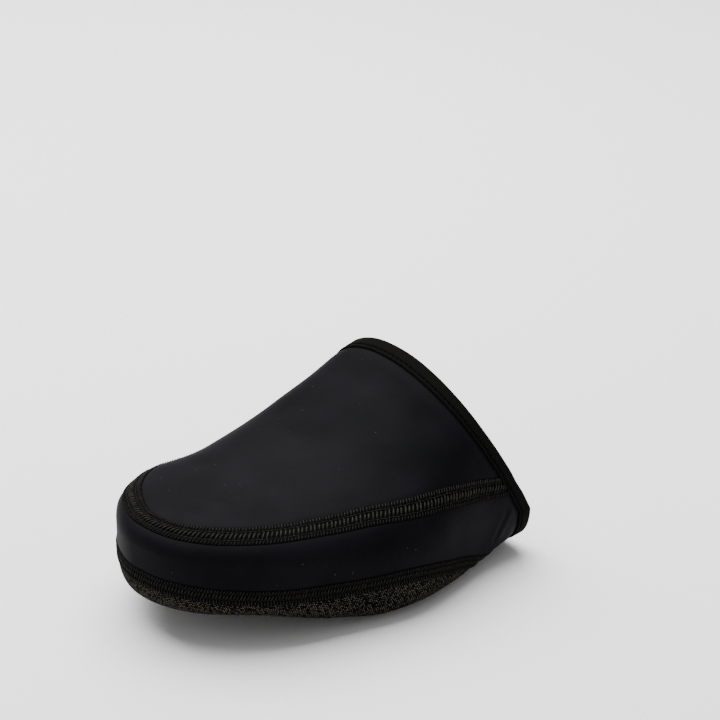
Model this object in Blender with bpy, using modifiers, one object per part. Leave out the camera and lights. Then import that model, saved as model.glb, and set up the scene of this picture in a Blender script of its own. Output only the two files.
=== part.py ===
"""Slip-on toe cover for a left cycling shoe, empty but in its worn shape, standing on its sole.

Metres, +Z up. The toe points to -Y and the outer side of the foot is +X. One form, lofted over
the last, gives every piece: each piece is a stretch of it between two offsets of its surface.
"""
import math

import bmesh
import bpy
import numpy as np
from mathutils import Vector

# Overall form of the worn cover
COVER_LENGTH = 0.1541    # toe tip to the back of the collar, along the floor
BALL_WIDTH = 0.1069      # widest place, at the ball of the foot
INSTEP_HEIGHT = 0.0775   # crown at the collar, above the floor
TOE_ROUND = 0.0415       # toe tip to the centre that the toe's sections turn about
TOE_SPRING = 0.0122      # lift of the sole at the toe tip
ARCH_RISE = 0.0061       # lift of the sole at the collar
COLLAR_LEAN = 0.0242     # how far the collar's top lies ahead of its lowest edge
CROWN_SHIFT = 0.0085     # crown line to the inner side of the foot's axis
SOLE_FLAT = 0.0004       # depth of sole pressed level where it stands

# Walls, trims and clearances
UPPER_WALL = 0.0020      # coated stretch fabric with its fleece back
SOLE_WALL = 0.0016       # knitted outsole cloth
CLEARANCE = 0.0003       # between two pieces that touch on the real cover
BUTT_GAP = 0.0004        # between the edges of upper and outsole, under their seam
UPPER_SEAM_WIDTH = 0.0075
SOLE_SEAM_WIDTH = 0.0062
SEAM_HEIGHT = 0.0007     # thread of a flatlock seam over the cloth
BINDING_WIDTH = 0.0055
BINDING_TAPE = 0.0008

# Opening that lets the shoe's cleat through the outsole
CLEAT_LENGTH = 0.0640
CLEAT_WIDTH = 0.0520
CLEAT_CORNER = 0.0120
CLEAT_FROM_TIP = 0.0990  # toe tip to the opening's centre
CLEAT_SHIFT = 0.0025     # opening's centre to the inner side of the foot's axis

# Outline: along is a share of COVER_LENGTH, the two widths are shares of BALL_WIDTH
OUTLINE = {
    "along":   (0.00, 0.10, 0.33, 0.59, 0.85, 1.12),
    "lateral": (0.345, 0.366, 0.460, 0.534, 0.465, 0.428),
    "medial":  (0.353, 0.398, 0.399, 0.466, 0.446, 0.382),
}
# Crown line: height is a share of INSTEP_HEIGHT
CROWN = {
    "along":  (0.00, 0.27, 0.52, 0.72, 0.85, 1.12),
    "height": (0.649, 0.607, 0.673, 0.855, 0.984, 1.000),
}
# Widest line of the sections: height is a share of INSTEP_HEIGHT
WIDEST = {
    "along":  (0.00, 0.55, 1.12),
    "height": (0.471, 0.332, 0.229),
}
# Underside: spring is a share of TOE_SPRING and arch a share of ARCH_RISE
UNDERSIDE = {
    "along":  (0.00, 0.16, 0.36, 0.50, 0.75, 0.94, 1.12),
    "spring": (1.00, 0.93, 0.31, 0.00, 0.00, 0.00, 0.00),
    "arch":   (0.00, 0.00, 0.00, 0.00, 0.00, 0.60, 1.00),
}
# Seam centres, as distances round the section from the widest line. The upper seam goes up by
# shares of INSTEP_HEIGHT, one column for each side, the sole seam down and under by shares of BALL_WIDTH
SEAMS = {
    "along":   (0.00, 0.39, 0.55, 0.72, 0.85, 0.945, 1.00, 1.12),
    "lateral": (0.148, 0.234, 0.270, 0.257, 0.225, 0.198, 0.190, 0.185),
    "medial":  (0.148, 0.135, 0.145, 0.160, 0.172, 0.180, 0.185, 0.185),
    "sole":    (0.110, 0.090, 0.073, 0.106, 0.173, 0.223, 0.314, 0.540),
}
# Squareness of the sections: 2 is an ellipse, more is boxier
SQUARENESS = {
    "place":        ("toe_tip", "middle", "collar"),
    "lateral_top":  (2.13, 2.50, 1.95),
    "medial_top":   (2.13, 2.80, 2.46),
    "under_across": (8.40, 8.40, 12.5),
    "under_down":   (6.70, 6.70, 1.58),
}
TOE_SQUARE = {"lateral": 2.27, "medial": 1.77}   # the same, for the toe seen from above
UNDER_EASE = 1.7         # how late the underside turns round, 1 is evenly from middle to collar
TIP_DRIFT = 0.011        # toe tip to the inner side of the axis, as a share of BALL_WIDTH
TIP_DRIFT_END = 0.55     # where that drift has died away, as a share of COVER_LENGTH
TIP_DRIFT_POWER = 1.5
COLLAR_BOW = 1.48        # curve of the collar's lean, 1 is straight
COLLAR_LOW = 0.034       # share of the collar's height below its widest line

# Facets
REAR_COLUMNS = 14
REAR_CROWDING = 1.4      # columns lie closer towards the collar, where the sole seam turns under
TOE_COLUMNS = 11
SOLE_ROWS = 7
SIDE_ROWS = 6
VAMP_ROWS = 7
FINE_STEPS = 80
ARC_STEPS = 4            # round edge of the binding
CORNER_STEPS = 5         # round corner of the cleat window
MERGE_WITHIN = 0.00001
SHARP_ANGLE = 40         # degrees, above which an edge is shaded sharp


def smooth(table, column, at):
    """Monotone cubic through a table's rows, with no bulge between them."""
    x = np.array(table["along"]) * COVER_LENGTH
    y = np.array(table[column])
    width = np.diff(x)
    rise = np.diff(y) / width
    slope = np.zeros(len(y))
    for i in range(1, len(y) - 1):
        if rise[i - 1] * rise[i] > 0:
            near = 2 * width[i] + width[i - 1]
            far = width[i] + 2 * width[i - 1]
            slope[i] = (near + far) / (near / rise[i - 1] + far / rise[i])
    slope[0] = end_slope(width[0], width[1], rise[0], rise[1])
    slope[-1] = end_slope(width[-1], width[-2], rise[-1], rise[-2])
    at = np.clip(at, x[0], x[-1])
    i = np.clip(np.searchsorted(x, at, side="right") - 1, 0, len(width) - 1)
    u = (at - x[i]) / width[i]
    start = y[i] * (1 + 2 * u) * (1 - u) ** 2 + slope[i] * width[i] * u * (1 - u) ** 2
    end = y[i + 1] * u ** 2 * (3 - 2 * u) + slope[i + 1] * width[i] * u ** 2 * (u - 1)
    return start + end


def end_slope(near, next_width, rise, next_rise):
    """Slope at a table's first or last row, kept from overshooting."""
    slope = ((2 * near + next_width) * rise - near * next_rise) / (near + next_width)
    if slope * rise <= 0:
        return 0.0
    if rise * next_rise < 0 and abs(slope) > 3 * abs(rise):
        return 3 * rise
    return slope


def outer_edge(side, t):
    """x of the widest line, t metres behind the toe tip."""
    width = smooth(OUTLINE, side, t) * BALL_WIDTH
    return drift(t) + (width if side == "lateral" else -width)


def drift(t):
    left = np.clip(1 - t / (TIP_DRIFT_END * COVER_LENGTH), 0, None)
    return -TIP_DRIFT * BALL_WIDTH * left ** TIP_DRIFT_POWER


def crown_z(t):
    return smooth(CROWN, "height", t) * INSTEP_HEIGHT


def widest_z(t):
    return smooth(WIDEST, "height", t) * INSTEP_HEIGHT


def underside_z(t):
    rise = smooth(UNDERSIDE, "spring", t) * TOE_SPRING + smooth(UNDERSIDE, "arch", t) * ARCH_RISE
    return rise - SOLE_FLAT


def quarter(first, second, turn):
    """Shares along a quarter section's two axes: first grows with the turn, second shrinks."""
    return np.sin(turn) ** (2 / first), np.cos(turn) ** (2 / second)


def eased(part, share, start="middle", end="collar"):
    """Squareness of a part of the section, so far on the way from one place to another."""
    at = dict(zip(SQUARENESS["place"], SQUARENESS[part]))
    return at[start] * (1 - share) + at[end] * share


def point(t, edge, wide, across, up, over):
    """A point of the section at t: across is its share of the half width, up of the height."""
    x = -CROWN_SHIFT + (edge + CROWN_SHIFT) * across
    z = wide + (crown_z(t) - wide) * up if over else wide - (wide - underside_z(t)) * up
    return np.stack([x, t, np.maximum(z, 0)], axis=-1)


def rear_columns(side):
    """Profiles from the toe's centre back to the collar, each leaning as the collar does."""
    trim = BINDING_WIDTH + CLEARANCE
    share = 1 - np.linspace(1, 0, REAR_COLUMNS) ** REAR_CROWDING
    turn = np.linspace(0, math.pi / 2, FINE_STEPS)
    columns = []
    for ahead, back in [(s, trim) for s in share] + [(1.0, 0.0)]:
        def place(height):
            collar = COVER_LENGTH - COLLAR_LEAN * (1 - (1 - height) ** COLLAR_BOW)
            return TOE_ROUND + (collar - back - TOE_ROUND) * ahead

        # A top power under 2 gives a ridge along the crown, while the side stays round
        top = eased(side + "_top", ahead)
        under = ahead ** UNDER_EASE
        across, down = quarter(eased("under_across", under), eased("under_down", under), turn)
        t = place(COLLAR_LOW * (1 - down))
        low = point(t, outer_edge(side, t), widest_z(t), across, down, over=False)
        up, across = quarter(max(top, 2), top, turn)
        t = place(COLLAR_LOW + (1 - COLLAR_LOW) * up)
        high = point(t, outer_edge(side, t), widest_z(t), across, up, over=True)
        columns.append(np.concatenate([low, high[1:]]))
    return columns


def toe_columns(side):
    """Profiles round the toe, turning about one centre from the tip to that side."""
    turn = np.linspace(0, math.pi / 2, FINE_STEPS)
    columns = []
    for swing in np.linspace(0, math.pi / 2, TOE_COLUMNS + 1)[:-1]:
        reach = math.cos(swing) ** (2 / TOE_SQUARE[side])
        t_edge = TOE_ROUND * (1 - reach)
        spread = math.sin(swing) ** (2 / TOE_SQUARE[side])
        edge = drift(t_edge) + (outer_edge(side, t_edge) - drift(t_edge)) * spread
        wide = widest_z(t_edge)
        top, under_across, under_down = [eased(part, math.sin(swing) ** 2, "toe_tip", "middle")
                                         for part in (side + "_top", "under_across", "under_down")]
        across, down = quarter(under_across, under_down, turn)
        t = TOE_ROUND + (t_edge - TOE_ROUND) * across
        low = point(t, edge, wide, across, down, over=False)
        up, across = quarter(top, top, turn)
        t = TOE_ROUND + (t_edge - TOE_ROUND) * across
        high = point(t, edge, wide, across, up, over=True)
        columns.append(np.concatenate([low, high[1:]]))
    return columns


def measure(profile):
    """Length along a profile, and the same mixed with how far it has turned."""
    step = np.diff(profile, axis=0)
    size = np.linalg.norm(step, axis=1)
    heading = step / size[:, None]
    bend = np.arccos(np.clip(np.sum(heading[1:] * heading[:-1], axis=1), -1, 1))
    length = np.concatenate([[0], np.cumsum(size)])
    turned = np.concatenate([[0, 0], np.cumsum(bend)])
    return length, length / length[-1] + turned / turned[-1]


def read(values, along, at):
    """Values of every profile, read at its own places along it."""
    return np.array([np.stack([np.interp(at[c], along[c], values[c][:, axis]) for axis in range(3)],
                              axis=-1) for c in range(len(values))])


def unit(vectors):
    return vectors / np.maximum(np.linalg.norm(vectors, axis=-1, keepdims=True), 1e-12)


def seam_edges(fine, length, centre, half_widths):
    """Places beside a seam's centre, further along the profile where the seam crosses it askew."""
    line = unit(np.gradient(read(fine, length, centre), axis=0))
    across = unit(read(np.gradient(fine, axis=1), length, centre))
    askew = np.linalg.norm(np.cross(line, across), axis=-1)
    return [centre + half / askew for half in half_widths]


def section_rows(fine):
    """Where each profile is cut into rows, from the sole's middle to the crown."""
    measured = [measure(profile) for profile in fine]
    length = np.array([m[0] for m in measured])
    mixed = np.array([m[1] for m in measured])
    wide = FINE_STEPS - 1
    t = fine[:, wide, 1]
    sole = length[:, wide] - smooth(SEAMS, "sole", t) * BALL_WIDTH
    outer_side = np.arange(len(fine)) <= REAR_COLUMNS + TOE_COLUMNS
    climb = np.where(outer_side, smooth(SEAMS, "lateral", t), smooth(SEAMS, "medial", t))
    upper = length[:, wide] + climb * INSTEP_HEIGHT
    half, gap = SOLE_SEAM_WIDTH / 2, BUTT_GAP / 2
    edges = seam_edges(fine, length, sole, (-half, -half / 2, -gap, gap, half / 2, half))
    edges += seam_edges(fine, length, upper, (-UPPER_SEAM_WIDTH / 2, 0, UPPER_SEAM_WIDTH / 2))
    rows = []
    for c, marks in enumerate(np.array(edges).T):
        marks = np.interp(marks, length[c], mixed[c])
        rows.append(np.concatenate([
            np.linspace(0, marks[0], SOLE_ROWS + 1), marks[1:5],
            np.linspace(marks[5], marks[6], SIDE_ROWS + 1), marks[7:8],
            np.linspace(marks[8], mixed[c][-1], VAMP_ROWS + 1)]))
    return rows, mixed


SOLE_END = SOLE_ROWS + 2                 # last row of the outsole, at the gap to the upper
UPPER_START = SOLE_END + 1
SOLE_SEAM = (SOLE_ROWS, SOLE_ROWS + 5)
UPPER_SEAM = (SOLE_SEAM[1] + SIDE_ROWS, SOLE_SEAM[1] + SIDE_ROWS + 2)
CROWN_ROW = UPPER_SEAM[1] + VAMP_ROWS
LAST_COLUMN = 2 * (REAR_COLUMNS + TOE_COLUMNS)


class Form:
    """The whole surface of the cover, open only at the collar, with a normal at each vertex."""

    def __init__(self):
        toe = toe_columns("lateral")[::-1] + toe_columns("medial")[1:]
        fine = np.array(rear_columns("lateral")[::-1] + toe + rear_columns("medial"))
        rows, mixed = section_rows(fine)
        grid = read(fine, mixed, rows)
        facing = np.cross(np.gradient(fine, axis=1), np.gradient(fine, axis=0))
        facing = unit(read(unit(facing), mixed, rows))
        self.mesh = bmesh.new()
        self.row = self.mesh.faces.layers.int.new("row")
        self.column = self.mesh.faces.layers.int.new("column")
        self.outward = self.mesh.verts.layers.float_vector.new("outward")
        self.order = self.mesh.verts.layers.int.new("order")
        verts = [[self.mesh.verts.new(p) for p in column] for column in grid]
        for c in range(LAST_COLUMN):
            for r in range(CROWN_ROW):
                a, b, d, e = verts[c][r], verts[c][r + 1], verts[c + 1][r + 1], verts[c + 1][r]
                # Away from the collar a face is split along its outer diagonal, which leaves no notch
                bulge = ((a.co + d.co) - (b.co + e.co)).dot(Vector(facing[c, r]))
                split = ((a, b, d), (a, d, e))
                if 0 < c < LAST_COLUMN - 1 and bulge < 0:
                    split = ((a, b, e), (b, d, e))
                for corners in split:
                    face = self.mesh.faces.new(corners)
                    face[self.row], face[self.column] = r, c
        found = bmesh.ops.find_doubles(self.mesh, verts=self.mesh.verts[:], dist=MERGE_WITHIN)
        same = found["targetmap"]
        self.verts = [[same.get(v, v) for v in column] for column in verts]
        bmesh.ops.weld_verts(self.mesh, targetmap=same)
        self.mesh.normal_update()
        # The poles and the middle line, where the two sides meet, take the normal of their faces
        for c, column in enumerate(self.verts):
            for r, v in enumerate(column):
                v[self.outward] = v.normal if r in (0, CROWN_ROW) else Vector(facing[c, r])
                v[self.order] = c * (CROWN_ROW + 1) + r

    def collar(self):
        """Points, normals and ways ahead round the collar's edge, and the same at the trim's."""
        def loop(outer, inner):
            lateral = self.verts[outer]
            medial = self.verts[inner][CROWN_ROW - 1:0:-1]
            return list(lateral) + list(medial)

        edge = loop(0, LAST_COLUMN)
        trim = loop(1, LAST_COLUMN - 1)
        return [(e.co, e[self.outward], (f.co - e.co).normalized(), f.co, f[self.outward])
                for e, f in zip(edge, trim)]


def shell(name, form, rows, columns, outside, inside, cloth):
    """The form's faces in those rows and columns, thickened between two offsets of its surface."""
    mesh = form.mesh.copy()
    row, column = mesh.faces.layers.int["row"], mesh.faces.layers.int["column"]
    outward = mesh.verts.layers.float_vector["outward"]
    spare = [f for f in mesh.faces
             if not (rows[0] <= f[row] < rows[1] and columns[0] <= f[column] < columns[1])]
    bmesh.ops.delete(mesh, geom=spare, context="FACES")
    for v in mesh.verts:
        v.co += v[outward] * outside
    grown = bmesh.ops.extrude_face_region(mesh, geom=mesh.faces[:], use_keep_orig=True)
    inner = {v for v in grown["geom"] if isinstance(v, bmesh.types.BMVert)}
    for v in inner:
        v.co += v[outward] * (inside - outside)
    # Rims split the same way in every piece, so that two twisted rims stay parallel
    order = mesh.verts.layers.int["order"]
    for rim in [f for f in mesh.faces if len(f.verts) == 4]:
        first = min((v for v in rim.verts if v not in inner), key=lambda v: v[order])
        last = max((v for v in rim.verts if v in inner), key=lambda v: v[order])
        bmesh.utils.face_split(rim, first, last)
    bmesh.ops.recalc_face_normals(mesh, faces=mesh.faces[:])
    return finish(name, mesh, cloth)


def binding(form, cloth):
    """Tape folded over the collar's edge: an open U, given its thickness by Solidify."""
    outer = CLEARANCE + BINDING_TAPE / 2
    inner = -max(UPPER_WALL, SOLE_WALL) - outer
    radius, middle = (outer - inner) / 2, (outer + inner) / 2
    mesh = bmesh.new()
    rings = []
    for at, out, ahead, trim, trim_out in form.collar():
        trim = trim - (trim - at).normalized() * CLEARANCE
        ring = [trim + trim_out * outer]
        for i in range(ARC_STEPS + 1):
            angle = math.pi * i / ARC_STEPS
            ring.append(at + out * (middle + radius * math.cos(angle)) - ahead * radius * math.sin(angle))
        ring.append(trim + trim_out * inner)
        rings.append([mesh.verts.new(p) for p in ring])
    for k, ring in enumerate(rings):
        after = rings[(k + 1) % len(rings)]
        # Split as the form's own faces are, so that each leg lies parallel to the wall beside it
        mesh.faces.new((ring[0], ring[1], after[0]))
        mesh.faces.new((ring[1], after[1], after[0]))
        for i in range(1, len(ring) - 1):
            mesh.faces.new((ring[i], ring[i + 1], after[i + 1]))
            mesh.faces.new((ring[i], after[i + 1], after[i]))
    tape = finish("cuff_binding", mesh, cloth)
    wall = tape.modifiers.new("tape", "SOLIDIFY")
    wall.thickness = BINDING_TAPE
    wall.offset = 0
    wall.use_even_offset = True
    return tape


def cleat_cutter():
    """Upright block with rounded corners, through the cloth under the ball."""
    mesh = bmesh.new()
    bmesh.ops.create_cube(mesh, size=1)
    size = Vector((CLEAT_WIDTH, CLEAT_LENGTH, 2 * (TOE_SPRING + ARCH_RISE)))
    bmesh.ops.scale(mesh, vec=size, verts=mesh.verts[:])
    upright = [e for e in mesh.edges if abs(e.verts[0].co.z - e.verts[1].co.z) > size.z / 2]
    bmesh.ops.bevel(mesh, geom=upright, offset=CLEAT_CORNER, segments=CORNER_STEPS, profile=0.5,
                    affect="EDGES")
    cutter = finish("cleat_opening", mesh)
    cutter.location = (-CLEAT_SHIFT, CLEAT_FROM_TIP, 0)
    cutter.hide_render = True
    cutter.display_type = "WIRE"
    return cutter


def finish(name, mesh, cloth=None):
    """Object from a bmesh, shaded smooth with its real edges kept sharp."""
    data = bpy.data.meshes.new(name)
    mesh.to_mesh(data)
    mesh.free()
    data.shade_smooth()
    data.set_sharp_from_angle(angle=math.radians(SHARP_ANGLE))
    if cloth:
        data.materials.append(cloth)
    return bpy.data.objects.new(name, data)


def material(name, colour, roughness):
    made = bpy.data.materials.new(name)
    made.use_nodes = True
    shader = made.node_tree.nodes["Principled BSDF"]
    shader.inputs["Base Color"].default_value = (*colour, 1)
    shader.inputs["Roughness"].default_value = roughness
    shader.inputs["Metallic"].default_value = 0
    return made


def bounds(objects):
    """Lowest and highest corner of the evaluated objects."""
    graph = bpy.context.evaluated_depsgraph_get()
    corners = np.array([o.matrix_world @ Vector(c) for o in objects
                        for c in o.evaluated_get(graph).bound_box])
    return corners.min(axis=0), corners.max(axis=0)


def build():
    for old in list(bpy.data.objects):
        bpy.data.objects.remove(old)
    cover = bpy.data.collections.new("toe_cover")
    cutters = bpy.data.collections.new("cutters")
    for collection in (cover, cutters):
        bpy.context.scene.collection.children.link(collection)

    fabric = material("softshell", (0.022, 0.022, 0.030), 0.6)
    knit = material("knitted_outsole", (0.010, 0.010, 0.009), 0.8)
    upper_thread = material("upper_thread", (0.028, 0.027, 0.028), 0.7)
    sole_thread = material("sole_thread", (0.012, 0.012, 0.013), 0.7)
    tape = material("binding_tape", (0.008, 0.008, 0.009), 0.75)

    form = Form()
    whole, sewn = (0, LAST_COLUMN), (1, LAST_COLUMN - 1)
    thread = (CLEARANCE + SEAM_HEIGHT, CLEARANCE)
    outsole = shell("outsole", form, (0, SOLE_END), whole, 0, -SOLE_WALL, knit)
    pieces = [
        shell("upper", form, (UPPER_START, CROWN_ROW), whole, 0, -UPPER_WALL, fabric),
        outsole,
        shell("upper_seam", form, UPPER_SEAM, sewn, *thread, upper_thread),
        shell("outsole_seam", form, SOLE_SEAM, sewn, *thread, sole_thread),
        binding(form, tape),
    ]
    form.mesh.free()

    cutter = cleat_cutter()
    cutters.objects.link(cutter)
    cut = outsole.modifiers.new("cleat opening", "BOOLEAN")
    cut.operation = "DIFFERENCE"
    cut.solver = "EXACT"
    cut.object = cutter

    # The origin is under the middle of the whole cover, on the floor
    origin = bpy.data.objects.new("toe_cover", None)
    cover.objects.link(origin)
    for piece in pieces:
        cover.objects.link(piece)
    bpy.context.view_layer.update()
    low, high = bounds(pieces)
    origin.location = (-(low[0] + high[0]) / 2, -(low[1] + high[1]) / 2, -low[2])
    for piece in pieces + [cutter]:
        piece.parent = origin
    bpy.context.view_layer.update()


build()
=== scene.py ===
import math

import bpy
import numpy as np
from mathutils import Matrix, Vector


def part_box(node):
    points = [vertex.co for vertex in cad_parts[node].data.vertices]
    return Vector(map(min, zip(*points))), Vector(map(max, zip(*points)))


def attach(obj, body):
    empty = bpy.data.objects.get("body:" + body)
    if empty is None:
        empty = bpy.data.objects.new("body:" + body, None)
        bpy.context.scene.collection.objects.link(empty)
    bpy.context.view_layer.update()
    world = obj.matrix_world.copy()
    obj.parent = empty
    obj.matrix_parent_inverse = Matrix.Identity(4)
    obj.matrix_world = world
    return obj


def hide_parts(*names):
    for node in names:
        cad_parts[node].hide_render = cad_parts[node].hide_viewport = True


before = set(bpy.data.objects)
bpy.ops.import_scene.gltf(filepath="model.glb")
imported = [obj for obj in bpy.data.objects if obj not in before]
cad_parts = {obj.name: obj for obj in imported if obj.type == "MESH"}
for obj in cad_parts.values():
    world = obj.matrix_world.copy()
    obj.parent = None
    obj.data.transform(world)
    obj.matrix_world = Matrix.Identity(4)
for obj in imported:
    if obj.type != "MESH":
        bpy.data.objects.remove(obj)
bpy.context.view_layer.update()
print("frame loaded")


# Small helpers

def hexColour(text):
    # sRGB hex to linear colour with alpha 1
    parts = np.array([int(text[i:i + 2], 16) / 255 for i in (1, 3, 5)])
    linear = np.where(parts <= 0.04045, parts / 12.92, ((parts + 0.055) / 1.055) ** 2.4)
    return (*linear.tolist(), 1.0)


def unit(vectors):
    # each vector over its own length
    return vectors / np.maximum(np.linalg.norm(vectors, axis=-1, keepdims=True), 1e-12)


def runAlong(points):
    # distance from the first point along the line through them all
    return np.concatenate([[0], np.cumsum(np.linalg.norm(np.diff(points, axis=0), axis=1))])


def readEvenly(values, run, steps):
    # every column of the values at other places along the run
    return np.stack([np.interp(steps, run, values[:, i]) for i in range(values.shape[1])], axis=-1)


def bell(distance, width):
    # 1 in the middle, falling off by the square of distance over width
    return np.exp(-(distance / width) ** 2)


def softStep(distance, edge, softness):
    # 1 before the edge and 0 beyond it, as one over 1 plus an exponential
    return 1 / (1 + np.exp((distance - edge) / softness))


def gridQuads(index):
    # four corners of each cell in a grid of vertex numbers, or in several grids, round the cell
    corners = (index[..., :-1, :-1], index[..., :-1, 1:], index[..., 1:, 1:], index[..., 1:, :-1])
    return np.stack([corner.ravel() for corner in corners], axis=-1)


def closeRound(grid, axis):
    # the same grid with its first line repeated at the end
    return np.concatenate([grid, np.take(grid, [0], axis=axis)], axis=axis)


def putMesh(name, points, faces, uvs=None, materials=(), slots=None):
    # one mesh from arrays; faces is a list of arrays, each with its own number of corners
    mesh = bpy.data.meshes.new(name)
    mesh.from_pydata(points.reshape(-1, 3).tolist(), [], [f for part in faces for f in part.tolist()])
    for material in materials:
        mesh.materials.append(material)
    if slots is not None:
        mesh.polygons.foreach_set("material_index", np.concatenate(slots).astype(np.int32))
    if uvs is not None:
        layer = mesh.uv_layers.new(name="cloth")
        layer.data.foreach_set("uv", uvs.astype(np.float32).ravel())
    mesh.shade_smooth()
    mesh.validate()
    mesh.update()
    made = bpy.data.objects.new(name, mesh)
    bpy.context.scene.collection.objects.link(made)
    return made


def addNode(tree, kind, settings=None, links=None):
    # a node of that kind; a setting is a property by name, or an input by name or number, and stops
    # are the (place, colour) pairs of a colour ramp
    node = tree.nodes.new("ShaderNode" + kind)
    for key, value in (settings or {}).items():
        if key == "stops":
            for element, (position, colour) in zip(node.color_ramp.elements, value):
                element.position = position
                element.color = colour
        elif isinstance(key, str) and hasattr(node, key):
            setattr(node, key, value)
        else:
            node.inputs[key].default_value = value
    for key, socket in (links or {}).items():
        tree.links.new(socket, node.inputs[key])
    return node


# The form of the worn cover, in metres. t runs from the toe tip back, the outer side of the foot is +X

clothLow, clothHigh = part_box("upper")
form = {
    "length": 0.1541,          # toe tip to the back of the collar
    "ballWidth": clothHigh.x - clothLow.x,
    "instep": 0.0775,          # crown at the collar, above the floor
    "toeRound": 0.0415,        # toe tip to the centre of the toe's fan of sections
    "toeSpring": 0.0122,
    "archRise": 0.0061,
    "collarLean": 0.0242,      # the collar's top lies this far ahead of its lowest edge
    "collarBow": 1.48,
    "collarLow": 0.034,        # share of the collar's height below its widest line
    "crownShift": 0.0085,      # crown line to the inner side
    "soleFlat": 0.0004,        # the underside would sink this far below the floor, and is flat there
    "tipDrift": 0.011,         # share of ballWidth that the toe tip lies to the inner side
    "tipDriftEnd": 0.55,
    "tipDriftPower": 1.5,
    "upperWall": 0.0020,
    "soleWall": 0.0016,
    "buttGap": 0.0004,
    "upperSeamWidth": 0.0075,
    "soleSeamWidth": 0.0062,
    "tapeWidth": 0.0055,
}
outline = {                    # half widths as shares of ballWidth
    "along":   (0.00, 0.10, 0.33, 0.59, 0.85, 1.12),
    "lateral": (0.345, 0.366, 0.460, 0.534, 0.465, 0.428),
    "medial":  (0.353, 0.398, 0.399, 0.466, 0.446, 0.382),
}
crown = {                      # height as a share of instep
    "along":  (0.00, 0.27, 0.52, 0.72, 0.85, 1.12),
    "height": (0.649, 0.607, 0.673, 0.855, 0.984, 1.000),
}
widest = {
    "along":  (0.00, 0.55, 1.12),
    "height": (0.471, 0.332, 0.229),
}
underside = {
    "along":  (0.00, 0.16, 0.36, 0.50, 0.75, 0.94, 1.12),
    "spring": (1.00, 0.93, 0.31, 0.00, 0.00, 0.00, 0.00),
    "arch":   (0.00, 0.00, 0.00, 0.00, 0.00, 0.60, 1.00),
}
seamLines = {                  # up from the widest line, and down from it round the section
    "along":   (0.00, 0.39, 0.55, 0.72, 0.85, 0.945, 1.00, 1.12),
    "lateral": (0.148, 0.234, 0.270, 0.257, 0.225, 0.198, 0.190, 0.185),
    "medial":  (0.148, 0.135, 0.145, 0.160, 0.172, 0.180, 0.185, 0.185),
    "sole":    (0.110, 0.090, 0.073, 0.106, 0.173, 0.223, 0.314, 0.540),
}
squareness = {                 # 2 is an ellipse and more is boxier: toe tip, middle, collar
    "lateralTop": (2.13, 2.50, 1.95),
    "medialTop": (2.13, 2.80, 2.46),
    "underAcross": (8.40, 8.40, 12.5),
    "underDown": (6.70, 6.70, 1.58),
    "lateralToe": 2.27,        # the toe seen from above
    "medialToe": 1.77,
    "underEase": 1.7,          # how late the underside turns round, 1 is evenly from middle to collar
}
footAxis = clothHigh.x - outline["lateral"][3] * form["ballWidth"]  # from the widest outer place
toeTip = clothLow.y

detail = {
    "rearColumns": 92,
    "tapeColumns": 6,          # more of them under the collar's tape
    "toeColumns": 66,
    "collarCrowding": 1.2,     # 1 spaces the rear columns evenly, more crowds them to the collar
    "steps": 110,              # round each quarter of a section
    "middleCrowding": 3,       # and more here crowds the underside's turns to its middle
    "soleRows": 60,
    "sideRows": 42,
    "seamRows": 10,
    "vampRows": 56,
    "bendWeight": 0.6,         # of bends beside plain distance, when rows are spaced
}
toeStart = detail["rearColumns"] + detail["tapeColumns"] - 1  # first column of the toe's fan


def smoothTable(table, column, along):
    # monotone cubic through a table: slopes are weighted harmonic means, so nothing bulges between
    x = np.array(table["along"]) * form["length"]
    y = np.array(table[column])
    width = np.diff(x)
    rise = np.diff(y) / width
    near = 2 * width[1:] + width[:-1]
    far = width[1:] + 2 * width[:-1]
    same = rise[:-1] * rise[1:] > 0
    before = np.where(same, rise[:-1], 1)
    after = np.where(same, rise[1:], 1)
    slope = np.zeros(len(y))
    slope[1:-1] = np.where(same, (near + far) / (near / before + far / after), 0)
    slope[0] = endSlope(width[0], width[1], rise[0], rise[1])
    slope[-1] = endSlope(width[-1], width[-2], rise[-1], rise[-2])
    along = np.clip(along, x[0], x[-1])
    i = np.clip(np.searchsorted(x, along, side="right") - 1, 0, len(width) - 1)
    u = (along - x[i]) / width[i]
    start = y[i] * (1 + 2 * u) * (1 - u) ** 2 + slope[i] * width[i] * u * (1 - u) ** 2
    return start + y[i + 1] * u ** 2 * (3 - 2 * u) + slope[i + 1] * width[i] * u ** 2 * (u - 1)


def endSlope(near, beyond, rise, nextRise):
    # slope at a table's end, from a parabola through the three rows there, held to the same side
    slope = ((2 * near + beyond) * rise - near * nextRise) / (near + beyond)
    if slope * rise <= 0:
        return 0.0
    return 3 * rise if rise * nextRise < 0 and abs(slope) > 3 * abs(rise) else slope


def drift(t):
    # the toe's middle line swings to the inner side, by a power of what is left to the swing's end
    left = np.clip(1 - t / (form["tipDriftEnd"] * form["length"]), 0, None)
    return -form["tipDrift"] * form["ballWidth"] * left ** form["tipDriftPower"]


def edgeX(side, t):
    # the widest line of that side
    width = smoothTable(outline, side, t) * form["ballWidth"]
    return drift(t) + (width if side == "lateral" else -width)


def crownZ(t):
    # height of the ridge line
    return smoothTable(crown, "height", t) * form["instep"]


def widestZ(t):
    # height at which a section is widest
    return smoothTable(widest, "height", t) * form["instep"]


def undersideZ(t):
    # the toe's spring plus the arch's rise, sunk a little so that the tread is flat
    spring = smoothTable(underside, "spring", t) * form["toeSpring"]
    return spring + smoothTable(underside, "arch", t) * form["archRise"] - form["soleFlat"]


def eased(name, share, fromToe=False):
    # squareness between two of its three places
    first, last = squareness[name][:2] if fromToe else squareness[name][1:]
    return first * (1 - share) + last * share


def quarter(first, second, turn):
    # a quarter of a superellipse: one share grows with the sine, the other falls with the cosine
    return np.sin(turn) ** (2 / first), np.cos(turn) ** (2 / second)


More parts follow.
